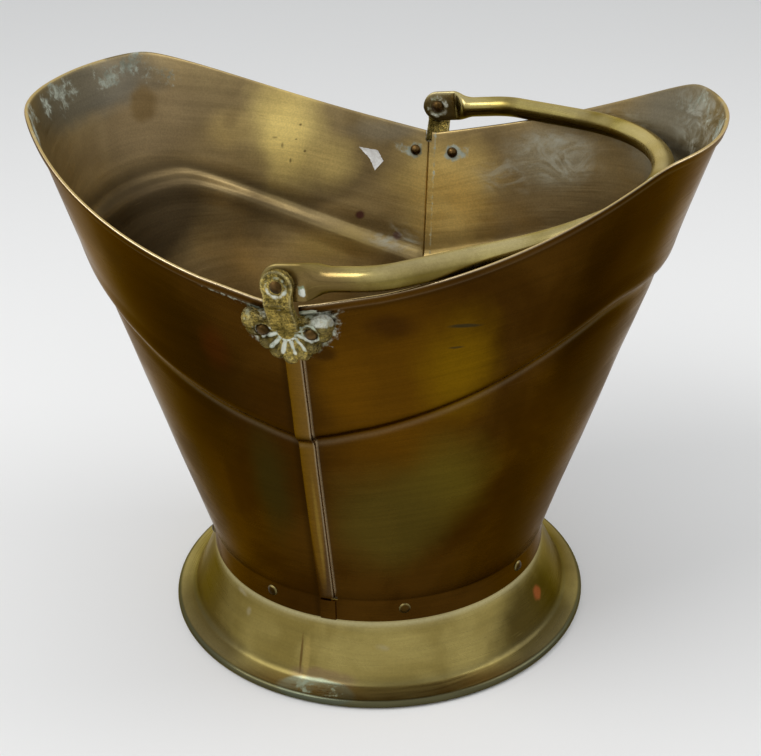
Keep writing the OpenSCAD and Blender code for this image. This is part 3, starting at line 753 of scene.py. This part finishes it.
def shell_marks(at, inside):
    """Shares of crust, of rubbed metal and painted highlight, and of painted shade at a point."""
    below, off = levels(at)
    side = abs(at.x)
    crust = 1.3 * plateau(min((at - r).length for r in ear_rivets), 6.3)
    wear_and_highlight, grime_and_shade = (0.8 if at.y < 40 else 0.16) * bell(below - 0.1, 0.5), 0
    if inside:
        lip = clamp((side - 112) / 26) * (0.85 + 0.5 * noise.noise(at / 13))
        crust = max(crust, 0.92 * plateau(side, 1.9) if at.z > 52 else 0,
                    lip * bell(below - 7, 15), 0.3 * bell(below, 4))
        # a painted highlight: a golden line along the lower edge of the ridge inside
        wear_and_highlight = max(wear_and_highlight, 0.1 * bell(off + 3.4, 1.0) * clamp((at.x + 130) / 60))
        # painted shade inside: a dark band above the ridge and a fainter one below it, both deepest
        # towards the left lip, and shade over the ridge's face
        dark = 1 - 0.8 * clamp((at.x + 100) / 50)
        grime_and_shade = max(dark * 0.62 * bell(off - 5.5, 4), 0.45 * bell(off + 1, 3.5),
                    dark * 0.3 * bell(off + 7.5, 2.5))
    else:
        ear = hypot(at.x * 0.85, at.z - ear_z - 0.5)
        free = at.x if at.y < 0 else -at.x          # from the seam towards its open edge
        wet = clamp((70 - side) / 36) * (1 if at.x * at.y > 0 else 0.45)
        blob = plateau(at.x - 8.8, 4.6) * plateau(below - 3.8, 1.4) if at.y < 0 else 0
        crust = max(crust, 1.15 * plateau(ear, 20.5) * (0.35 if below < 4.4 else 1),
                    0.95 * wet * bell(below - 5.2, 1.7), 1.8 * blob,
                    0.35 * bell(side - 4.7, 1.1) if at.z > 49 else 0,
                    0.25 * bell(at.z - collar_top, 1))
        # painted highlights: light lines along the hem's lower edge and under the ridge; the riser
        # beside the seam's strip is pale, both rubbed and painted as a highlight
        wear_and_highlight = max(wear_and_highlight, 0.07 * bell(below - 3.9, 0.6), 0.07 * bell(off + 4.5, 1.6),
                   0.4 * bell(free - 4.3, 0.55) if at.z > 52 else 0)
        # painted shade: along the ridge's step, in the crease at the collar, in the gap on either
        # side of the seam's strip and under the hem
        grime_and_shade = max(0.85 * bell(off - 0.2, 1.8), 0.4 * bell(at.z - collar_top - 1.2, 0.8),
                    0.55 * bell(free + 5.3, 1.2), 0.2 * bell(free - 6, 1),
                    0.4 * bell(below - 5, 1.2))
    return crust, wear_and_highlight, grime_and_shade


# the outside's dark browns are tarnish with a painted dark reflection in them
body_brass = brass(
    "body_brass", dark=(0.036, 0.014, 0.0012), light=(0.06, 0.026, 0.003),
    roughness=(0.22, 0.32), cloud_scale=17, sweep_share=0.06, scratch_share=0.1,
    wear_and_highlight_tone=(0.72, 0.58, 0.36), edge_tone=(0.75, 0.6, 0.45),
    crust_tones=((0.2, 0.23, 0.14), (0.66, 0.68, 0.54)),
    patches=[patch for way, hold in ((1, 1), (-1, 0.7)) for patch in (
        # painted highlights: the front's right half and, turned about, the back's left half are
        # painted brighter
        ((46 * way, -112 * way, 178), (52, 44, 92), (0.1, 0.042, 0.002), 0.85, 18, 0.25),
        ((70 * way, -106 * way, 196), (26, 26, 46), (0.16, 0.085, 0.002), 0.85, 16, 0.1),
        ((22 * way, -118 * way, 186), (18, 18, 34), (0.12, 0.05, 0.002), 0.6, 12, 0.2),
        ((60 * way, -88 * way, 128), (30, 30, 44), (0.1, 0.071, 0.008), 0.85, 16, 0.1),
        ((36 * way, -96 * way, 104), (40, 30, 48), (0.075, 0.053, 0.008), 0.8, 14, 0.3),
        ((44 * way, -121 * way, 219), (16, 14, 9), (0.035, 0.013, 0.002), 0.75, 9, 0.2),
        ((14 * way, -122 * way, 203), (8, 12, 6), (0.03, 0.012, 0.002), 0.7, 7, 0.3),
        # the folded strip of the seam is a warmer brown, with a painted glint low down its middle
        ((0, -119 * way, 150), (4.6, 40, 130), (0.13, 0.064, 0.004), 0.9, 0.5, 0.8),
        ((1.2 * way, -110 * way, 96), (1.4, 40, 46), (0.24, 0.15, 0.02), 0.55, 0.5, 0.3),
        # dark browns on the flanks, a painted dark reflection over the tarnish, reddest where the
        # lacquer has burnt
        ((136 * way, -54 * way, 200), (44, 62, 116), (0.011, 0.004, 0.0005), 0.96 * hold, 16,
         0.5),
        ((98 * way, -50 * way, 100), (30, 44, 60), (0.022, 0.009, 0.0008), 0.8, 14, 0.3),
        ((-70 * way, -104 * way, 186), (60, 40, 90), (0.017, 0.007, 0.0008), 0.92 * hold, 16,
         0.45),
        ((-84 * way, -72 * way, 96), (44, 50, 80), (0.012, 0.0055, 0.0008), 0.93, 14, 0.45),
        ((-39 * way, -118 * way, 198), (11, 12, 18), (0.06, 0.012, 0.002), 0.4, 9, 0.1),
        ((-22 * way, -104 * way, 118), (16, 26, 50), (0.03, 0.024, 0.005), 0.7, 12, 0.2),
        # a pale painted reflection high on the left flank, and turned about on the back
        ((-114 * way, -93 * way, 232), (20, 34, 52), (0.13, 0.09, 0.045), 0.5 * hold, 16, 0.1),
    )] + [
        ((74, -112, 218), (9, 12, 1.3), (0.03, 0.024, 0.01), 0.85, 2, 0.4),   # scuffs
        ((70, -110, 207), (4, 12, 0.8), (0.03, 0.024, 0.01), 0.7, 2, 0.4),
    ])
well_brass = brass(
    "well_brass", dark=(0.19, 0.136, 0.062), light=(0.3, 0.22, 0.1),
    roughness=(0.32, 0.44), cloud_scale=15, sweep_share=0.07, fleck_share=0.08,
    scratch_share=0.12, wear_and_highlight_tone=(0.62, 0.47, 0.2),
    grime_and_shade_tone=(0.05, 0.035, 0.018), edge_tone=(0.75, 0.68, 0.52),
    crust_tones=((0.19, 0.21, 0.16), (0.42, 0.45, 0.37)),
    patches=[
        ((-66, 98, 150), (60, 50, 34), (0.6, 0.44, 0.19), 0.8, 16, 0.3),      # lighter low down
        ((-26, 116, 184), (30, 24, 18), (0.52, 0.39, 0.18), 0.8, 14, 0.2),
        ((-46, 112, 180), (36, 24, 9), (0.62, 0.46, 0.21), 0.75, 8, 0.3),
        ((-138, 40, 248), (60, 84, 34), (0.14, 0.1, 0.052), 0.75, 16, 0.4),   # dull left half
        ((-160, 18, 270), (34, 90, 20), (0.085, 0.078, 0.06), 0.85, 10, 0.4),
        ((-140, 12, 196), (56, 84, 32), (0.05, 0.035, 0.018), 0.92, 8, 0.55),
        ((-108, 76, 184), (34, 40, 20), (0.11, 0.078, 0.036), 0.75, 12, 0.3),
        ((-84, 106, 226), (30, 34, 48), (0.86, 0.66, 0.22), 0.92, 16, 0.1),   # painted highlight, a broad light on the far wall
        ((-112, 92, 230), (24, 24, 16), (0.4, 0.29, 0.11), 0.7, 10, 0.2),
        ((-104, 92, 210), (18, 22, 16), (0.24, 0.17, 0.07), 0.7, 12, 0.2),
        ((-60, 114, 208), (22, 20, 22), (0.66, 0.5, 0.18), 0.85, 12, 0.2),
        ((-148, 52, 255), (12, 12, 11), (0.1, 0.064, 0.024), 0.75, 13, 0.45), # old finger mark
        ((-139, 62, 262), (9, 10, 7), (0.085, 0.07, 0.045), 0.5, 8, 0.3),
        ((-109, 88, 237), (9, 9, 8), (0.2, 0.14, 0.06), 0.5, 4, 0.6),
        ((6, 121, 188), (48, 22, 54), (0.8, 0.59, 0.2), 0.85, 18, 0.2),       # golden by the seam
        ((-34, 116, 176), (40, 22, 26), (0.34, 0.25, 0.11), 0.7, 16, 0.2),
        ((-56, 102, 160), (44, 26, 16), (0.62, 0.45, 0.14), 0.7, 14, 0.2),
        ((-30, 124, 226), (34, 12, 9), (0.26, 0.22, 0.145), 0.7, 12, 0.2),
        ((142, 64, 252), (50, 60, 40), (0.2, 0.182, 0.135), 0.85, 18, 0.4),   # dull right half
        ((70, 112, 222), (40, 26, 26), (0.3, 0.265, 0.175), 0.75, 16, 0.3),
        ((82, 102, 192), (40, 30, 22), (0.22, 0.16, 0.075), 0.7, 16, 0.3),
        ((-42.2, 112.5, 176.8), (3.6, 6, 3.4), (0.14, 0.04, 0.05), 0.85, 3, 0.4),  # wine-red
        ((-20, 114.5, 165), (3.6, 6, 3.2), (0.2, 0.11, 0.11), 0.8, 3, 0.4),
        ((-77, 112, 229.5), (1.2, 4, 1), (0.12, 0.085, 0.03), 0.8, 5, 0.2),   # dark specks
        ((-74, 110, 215), (1.3, 4, 1.1), (0.1, 0.07, 0.025), 0.8, 5, 0.2),
        ((-82, 105, 210), (1, 4, 1.8), (0.12, 0.085, 0.03), 0.7, 5, 0.2),
        ((-86, 106, 219), (1, 4, 2.6), (0.14, 0.1, 0.04), 0.6, 6, 0.2),
        ((-79, 109, 222), (0.9, 4, 0.8), (0.16, 0.11, 0.04), 0.7, 5, 0.2),
        ((-90, 103, 224), (2, 4, 0.8), (0.16, 0.11, 0.04), 0.6, 6, 0.2),
        ((-96, 100, 236), (4, 5, 1), (0.1, 0.07, 0.04), 0.6, 4, 0.2),
    ],
    smears=[((74, 112, 224), (44, 26, 20), 0.7), ((46, 117, 206), (26, 18, 12), 0.45),
            ((112, 96, 246), (44, 34, 14), 0.5), ((156, 44, 266), (30, 64, 26), 0.75),
            ((146, 66, 236), (24, 40, 26), 0.35), ((-22, 116, 163), (24, 16, 9), 0.75)])

for node, turn in (("back_shell", 0), ("front_shell", pi)):
    shell, outer_points = make_shell("body_" + node, turn)
    mesh = shell.data
    set_marks(shell, [shell_marks(v.co / mm, v.normal.x * v.co.x + v.normal.y * v.co.y < 0)
                      for v in mesh.vertices])
    smooth(shell)
    mesh.materials.append(body_brass)
    mesh.materials.append(well_brass)
    for face in mesh.polygons:
        facing = face.normal.dot(Vector((face.center.x, face.center.y, 0)).normalized())
        if abs(facing) < 0.3:
            facing = -1 if all(v >= outer_points for v in face.vertices) else 1
        face.material_index = 1 if facing < 0 else 0
    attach(shell, "scuttle")
    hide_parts(node)


# ---- Rivets ----
# Eight brass rivets hold collar, foot and pan together, two hold each ear and one is each
# pivot. Their heads are domed and brown, and those at the collar have a painted pale ring of
# highlight round the head.

collar_rivet_z, collar_rivet_r, collar_rivet_turn = foot_height + 7.4, 92, radians(2.2)


def rivet_finish(name, dark, light, ring_highlight):
    """A collar head's painted ring of highlight is found from its own axis."""
    material, tree = new_material(name)
    point = add_node(tree, "ShaderNodeTexCoord").outputs["Object"]
    cloud = place_group(tarnish, point, Scale=160.0)
    colour = blend(cloud["Cloud"], dark, light)
    if ring_highlight:
        axes = add_node(tree, "ShaderNodeSeparateXYZ", {0: point}).outputs
        turn = minus(math_node("ARCTAN2", axes["Y"], axes["X"]), collar_rivet_turn - pi / 8)
        step = math_node("DIVIDE", turn, pi / 4)
        along = times(minus(step, math_node("ROUND", step)), pi / 4 * collar_rivet_r * mm)
        up = minus(axes["Z"], collar_rivet_z * mm)
        reach = math_node("SQRT", plus(times(along, along), times(up, up)))
        # a pale ring painted round the head as its highlight
        colour = blend(remap(reach, 2.2 * mm, 2.8 * mm), colour, (0.16, 0.13, 0.05))
    end_material(tree, {"Base Color": colour, "Metallic": 1.0,
                        "Roughness": remap(cloud["Fleck"], 0, 1, 0.28, 0.45),
                        "Normal": relief(cloud["Fleck"], 0.35, 0.2)})
    return material


rivet_brass = rivet_finish("rivet_brass", (0.04, 0.022, 0.006), (0.13, 0.075, 0.025), False)
collar_rivet_brass = rivet_finish("collar_rivet_brass", (0.02, 0.01, 0.001),
                                  (0.05, 0.026, 0.004), True)
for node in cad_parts:
    if "rivet" in node:
        dress(node, collar_rivet_brass if "collar" in node else rivet_brass)


# ---- Ears ----
# Each ear is one brass casting: a shell-shaped fan of lobes riveted below the saddle, a
# stem over the hem, and an eye that carries the bail's pivot. Sand-cast, so the skin is
# pitted, and pale crust fills the grooves. The pitted skin and the crowns are speckled with
# painted glints.

def cast_piece(name, node):
    start_piece()
    piece = bpy.data.objects.new(name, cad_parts[node].data.copy())
    scene.collection.objects.link(piece)
    piece.data.materials.clear()
    piece.select_set(True)
    bpy.context.view_layer.objects.active = piece
    weld(0.005)
    skin = piece.modifiers.new("Skin", "REMESH")
    skin.mode, skin.voxel_size = "VOXEL", 0.33 * mm
    bpy.ops.object.modifier_apply(modifier=skin.name)
    soften = piece.modifiers.new("Soften", "SMOOTH")
    soften.factor, soften.iterations = 0.5, 5
    bpy.ops.object.modifier_apply(modifier=soften.name)
    return piece


def groove_depth(piece):
    """How far each point lies below its neighbours, in mm: negative on crowns."""
    mesh = piece.data
    around = [Vector() for _ in mesh.vertices]
    count = [0] * len(around)
    for a, b in (edge.vertices for edge in mesh.edges):
        around[a] += mesh.vertices[b].co
        around[b] += mesh.vertices[a].co
        count[a] += 1
        count[b] += 1
    bow = [(around[i] / max(1, count[i]) - v.co).dot(v.normal) / mm
           for i, v in enumerate(mesh.vertices)]
    for _ in range(4):
        total = [0.0] * len(bow)
        for a, b in (edge.vertices for edge in mesh.edges):
            total[a] += bow[b]
            total[b] += bow[a]
        bow = [(total[i] / max(1, count[i]) + bow[i]) / 2 for i in range(len(bow))]
    return bow


ear_brass = brass(
    "ear_brass", dark=(0.09, 0.065, 0.014), light=(0.36, 0.275, 0.075),
    roughness=(0.12, 0.24), cloud_scale=120, line_share=0.03, sweep_share=0.03,
    fleck_share=0.06, scratch_share=0.1, wear_and_highlight_tone=(0.62, 0.55, 0.3), bump=1.0, pits_and_glints=4.5,
    crust_tones=((0.42, 0.48, 0.34), (0.84, 0.86, 0.75)))
lobe_turn, pivot_z = 27, 239.6


def ear_marks(at, bow):
    """Shares of crust and of rubbed metal with painted glints on the crowns, from the place and
    from its depth in a groove.
    """
    broken = 1 + 0.5 * noise.noise(at / 2.2)
    crust = 0.56 if at.z > 221 else 0.36
    crust = max(crust + 22 * broken * max(0, bow),
                (0.45 + 0.5 * broken) * bell(hypot(at.x, at.z - pivot_z) - 4.3, 1.7))
    reach = hypot(at.x, at.z - ear_z)
    turn = degrees(atan2(at.x, ear_z - at.z)) / lobe_turn - 0.5
    if reach > 4 and abs(turn + 0.5) < 3.6:
        gap = radians(abs(turn - round(turn)) * lobe_turn) * reach
        crust = max(crust, 1.5 * broken * bell(gap, 1.25) * clamp((14.5 - reach) / 3))
    wet = at.x * at.y < 0
    head = hypot(abs(at.x) - ear_rivet_x, at.z - ear_z)
    crust = max(crust, (1.15 if wet else 0.6) * broken * bell(head - 4.0, 1.3))
    if at.z < 224:
        film = clamp((abs(at.x) - 5) / 4) * clamp((at.z - 216.5) / 3.5)
        crust = max(crust, (0.95 if wet else 0.8) * film)
    return crust, min(0.5, 10 * max(0, -bow))


for node in ("near_ear", "far_ear"):
    ear = cast_piece("cast_" + node, node)
    points = ear.data.vertices
    set_marks(ear, [ear_marks(v.co / mm, bow) for v, bow in zip(points, groove_depth(ear))])
    skin = []
    for vertex in points:
        rough = noise.noise(vertex.co / mm * 1.1)
        skin.extend(vertex.co + vertex.normal * 0.1 * rough * mm)
    points.foreach_set("co", skin)
    smooth(ear, 60)
    ear.data.materials.append(ear_brass)
    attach(ear, "scuttle")
    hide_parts(node)


# ---- Bail ----
# The bail is one brass tube bent to a bow. Its ends are hammered flat from the inside,
# rounded off and bored for the pivots. Hands have kept it brighter than the body; its top is
# painted lighter as a highlight and its underside darker as shade.

bail_rest, leg_out = radians(5.4), 130.4
tube_r, tab_half, tab_thick = 5.5, 8.45, 2.7
crown_middle, crown_r, shoulder, shoulder_r = 24.5, 118, radians(34), 30
shoulder_end = Vector((crown_middle + crown_r * sin(shoulder), crown_r * cos(shoulder)))
leg_end = shoulder_end.x - (leg_out - shoulder_end.y) / tan(shoulder) \
    - shoulder_r * tan(shoulder / 2)
squash_from, squash_to, tube_sides = 9.5, 22.5, 48


def ease(share):
    share = clamp(share)
    return share * share * (3 - 2 * share)


# stations from the far end to the middle: x, y, outward angle, and the share of roundness
half = [(-tab_half * cos(pi / 2 * i / 9), leg_out, pi / 2, 0) for i in range(9)]
half += [(x, leg_out, pi / 2, 0) for x in (0, 2.5, 5, 7.5)]
half += [(lerp(squash_from, squash_to, i / 20), leg_out, pi / 2, i / 20) for i in range(21)]
half += [(leg_end + shoulder_r * cos(a), leg_out - shoulder_r + shoulder_r * sin(a), a, 1)
         for a in (pi / 2 - shoulder * i / 12 for i in range(12))]
half += [(crown_middle + crown_r * cos(a), crown_r * sin(a), a, 1)
         for a in ((pi / 2 - shoulder) * (1 - i / 36) for i in range(36))]
stations = half + [(crown_middle + crown_r, 0, 0, 1)] + [
    (x, -y, -a, r) for x, y, a, r in reversed(half)]
run = [0.0]
for (x0, y0, *_), (x1, y1, *_) in zip(stations, stations[1:]):
    run.append(run[-1] + hypot(x1 - x0, y1 - y0))


def tube_point(i, k):
    x, y, normal, share = stations[k]
    turn = 2 * pi * (i % tube_sides) / tube_sides
    grow = ease(share * 1.5)
    high = lerp(tab_half, tube_r, ease(share))
    if x < 0:
        high = sqrt(max(0.02, tab_half ** 2 - x * x))
    deep = lerp(tab_thick / 2, tube_r, grow)
    square = lerp(0.42, 1, grow)
    across = tube_r - deep + deep * power(cos(turn), square)
    up = high * power(sin(turn), square)
    bx, by = x + across * cos(normal), y + across * sin(normal)
    c, s = cos(bail_rest), sin(bail_rest)
    return Vector((bx * c - up * s, by, pivot_z + bx * s + up * c)) * mm


bail = laid_sheet("bail_tube", tube_sides + 1, len(stations), tube_point)
layer = bail.data.uv_layers.active
for loop in layer.data:
    u, v = loop.uv
    k = min(len(run) - 1, max(0, round(v * (len(run) - 1))))
    loop.uv = (run[k] * mm, u * 2 * pi * tube_r * mm)
weld(0.002)
bpy.ops.object.mode_set(mode="EDIT")
bpy.ops.mesh.select_all(action="DESELECT")
bpy.ops.mesh.select_mode(type="VERT")
bpy.ops.mesh.select_non_manifold()
bpy.ops.mesh.edge_face_add()
weld(0.002)

# the pivots' bores
start_piece()
bpy.ops.mesh.primitive_cylinder_add(vertices=40, radius=2.2 * mm, depth=0.32,
                                    location=(0, 0, pivot_z * mm), rotation=(pi / 2, 0, 0))
drill = bpy.context.object
bpy.context.view_layer.objects.active = bail
bore = bail.modifiers.new("Bore", "BOOLEAN")
bore.operation, bore.solver, bore.object = "DIFFERENCE", "EXACT", drill
bpy.ops.object.modifier_apply(modifier=bore.name)
bpy.data.objects.remove(drill)


def bail_marks(at):
    lift = at.z - pivot_z - at.x * sin(bail_rest)
    spot = plateau(at.x - 10.4, 1.1) * plateau(at.z - 237.6, 3) if at.y < -133 else 0
    end = hypot(at.x, at.z - pivot_z)
    crust = max(0.7 * bell(end - 5.0, 2.5) + 0.25 * plateau(end, 26), 2.1 * spot)
    # painted highlight along the top of the tube, fainter towards the near end, and painted shade
    # along its underside
    highlight_reach = clamp(max(0.3, (at.x - 8) / 36)) if at.y < 0 else 0.9
    wear_and_highlight = 0.6 * highlight_reach * clamp(lift / tube_r) * (0.6 + 0.8 * noise.noise(at / 14))
    grime_and_shade = 0.7 * clamp((0.35 - lift / tube_r) / 0.9) if at.x > 12 else 0
    return crust, wear_and_highlight, grime_and_shade


set_marks(bail, [bail_marks(v.co / mm) for v in bail.data.vertices])
smooth(bail)
bail_brass = brass(
    "bail_brass", dark=(0.17, 0.125, 0.026), light=(0.37, 0.3, 0.085),
    roughness=(0.2, 0.33), cloud_scale=30, fleck_share=0.06,
    wear_and_highlight_tone=(0.6, 0.52, 0.3), grime_and_shade_tone=(0.07, 0.045, 0.01),
    crust_tones=((0.25, 0.3, 0.18), (0.72, 0.74, 0.66)),
    patches=[
        ((16, -132, 239), (32, 26, 16), (0.15, 0.098, 0.036), 0.9, 8, 0.4),    # browner near end
        ((98, -94, 254), (30, 34, 16), (0.22, 0.17, 0.06), 0.5, 10, 0.2),
        ((134, 40, 262), (36, 60, 30), (0.62, 0.52, 0.24), 0.6, 10, 0.2),      # painted highlight at the bend
        ((0, 130, 239), (18, 16, 16), (0.15, 0.12, 0.05), 0.8, 6, 0.5),        # dull far end
    ])
bail.data.materials.append(bail_brass)
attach(bail, "bail")
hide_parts("bail")


# ---- Paper scrap ----
# A torn scrap of plain white paper sticks to the inside of the front shell, left of the
# far ear. It is glued flat and lifts a little along its edges.

scrap_corners = [(-44, 216.5), (-33, 214.6), (-29.6, 208.6), (-34.2, 203.2), (-37.5, 210)]


def scrap_point(i, k):
    """Between the torn outline and its middle, on the wall's inner face."""
    turn, ring = i / 40 * len(scrap_corners), k / 6
    (x0, z0), (x1, z1) = (scrap_corners[(floor(turn) + n) % len(scrap_corners)]
                          for n in (0, 1))
    t = turn - floor(turn)
    x, z = lerp(x0, x1, t), lerp(z0, z1, t)
    tear = 0.35 * noise.noise(Vector((x, z, 0)) * 0.9) * ring
    x, z = lerp(-35.5, x, ring) + tear, lerp(210.5, z, ring) + tear
    share = (z - collar_top) / (z + levels(Vector((x, 0, z)))[0] - collar_top)
    a_reach, b_reach = lerp(collar_r, lip_reach, share), lerp(collar_r, waist_reach, share)
    p = lerp(2, mouth_power, share)
    y = b_reach * (1 - abs(x / a_reach) ** p) ** (1 / p)
    lift = 0.4 + 0.35 * ring ** 4 * (1 + noise.noise(Vector((x, z, 4)) * 0.5))
    return Vector((x, y - lift, z)) * mm


scrap = laid_sheet("paper_scrap", 41, 7, scrap_point)
weld(0.01)
thicken(scrap, 0.15 * mm)
smooth(scrap)
paper, tree = new_material("scrap_paper")
point = add_node(tree, "ShaderNodeTexCoord").outputs["Object"]
fibre = noise_at(point, 700.0, 4.0, 0.6)
end_material(tree, {"Base Color": blend(remap(fibre, 0.35, 0.65), (0.74, 0.73, 0.7),
                                        (0.86, 0.86, 0.84)),
                    "Roughness": 0.8, "Normal": relief(fibre, 0.2, 0.1)})
scrap.data.materials.append(paper)
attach(scrap, "scuttle")
